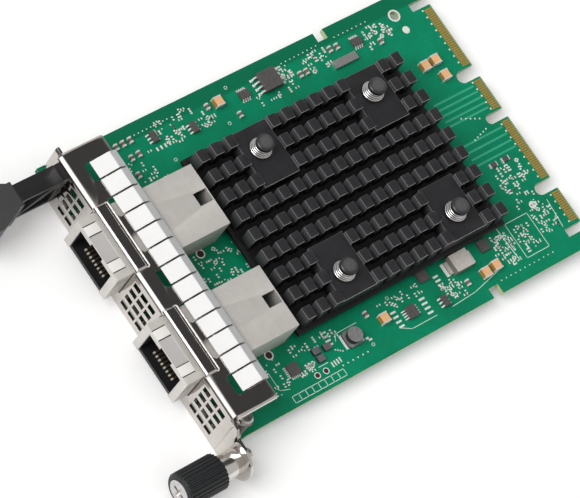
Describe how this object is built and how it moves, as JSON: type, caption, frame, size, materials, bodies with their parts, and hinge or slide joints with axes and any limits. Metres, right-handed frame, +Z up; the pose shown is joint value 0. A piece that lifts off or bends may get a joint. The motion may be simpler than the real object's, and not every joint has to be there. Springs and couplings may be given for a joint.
{
  "type": "mezzanine network card",
  "caption": "Small form factor server network card with a pin-fin heat sink, vented faceplate, plug sockets, pull tab and captive thumbscrew.",
  "frame": {"origin": "middle of the card edge, on the board's mid-plane", "axes": "+Y leaves the card edge, towards the host connector; +Z up from the component side; +X towards the thumbscrew"},
  "size_m": [0.086, 0.14, 0.0163],
  "materials": {
    "board_green": "solder mask, semi-gloss",
    "gold": "hard gold plating",
    "package_black": "moulded epoxy",
    "pad_grey": "soft thermal pad",
    "anodised_black": "black anodised aluminium",
    "nylon_black": "black nylon",
    "spring_steel": "bright spring wire",
    "nickel_sheet": "bright plated sheet steel",
    "finger_strip": "tin plated spring copper",
    "screw_steel": "zinc plated steel",
    "tab_plastic": "dark moulded plastic",
    "knob_black": "ribbed black plastic",
    "port_shield": "satin plated shield",
    "port_plastic": "black moulding",
    "crystal_can": "metal lidded can",
    "ferrite_grey": "coated ferrite",
    "capacitor_tan": "fired ceramic",
    "resistor_dark": "ceramic chip"
  },
  "bodies": {
    "card": {"ceramic_capacitors": "capacitor_tan", "chip_resistors": "resistor_dark", "circuit_board": "board_green", "clock_crystal": "crystal_can", "controller_chip": "package_black", "edge_contacts": "gold", "emi_finger_strip": "finger_strip", "faceplate": "nickel_sheet", "faceplate_screws": "screw_steel", "ferrite_beads": "package_black", "flash_memory": "package_black", "heat_sink": "anodised_black", "left_port_contacts": "gold", "left_port_housing": "port_plastic", "left_port_magnetics": "port_plastic", "left_port_shield": "port_shield", "line_driver": "package_black", "logic_chips": "package_black", "power_chips": "package_black", "pull_tab": "tab_plastic", "pull_tab_rivets": "screw_steel", "push_pin_springs": "spring_steel", "push_pins": "nylon_black", "right_port_contacts": "gold", "right_port_housing": "port_plastic", "right_port_magnetics": "port_plastic", "right_port_shield": "port_shield", "round_inductor": "ferrite_grey", "screw_ferrule": "screw_steel", "screw_spring": "spring_steel", "small_capacitors": "capacitor_tan", "square_inductor": "ferrite_grey", "thermal_pad": "pad_grey", "transistor_packages": "package_black"},
    "spring_seat": {"slip_washer": "screw_steel"},
    "thumbscrew": {"captive_screw": "screw_steel", "thumb_knob": "knob_black"}
  },
  "joints": [
    {"name": "thumbscrew_push", "type": "slide", "parent": "card", "child": "spring_seat", "axis": [0, 1, 0], "range_m": [0, 0.0045], "deforming": ["screw_spring"]},
    {"name": "thumbscrew_turn", "type": "hinge", "parent": "spring_seat", "child": "thumbscrew", "pos_m": [0.042, -0.1205, 0.00238], "axis": [0, 1, 0], "continuous": true}
  ]
}
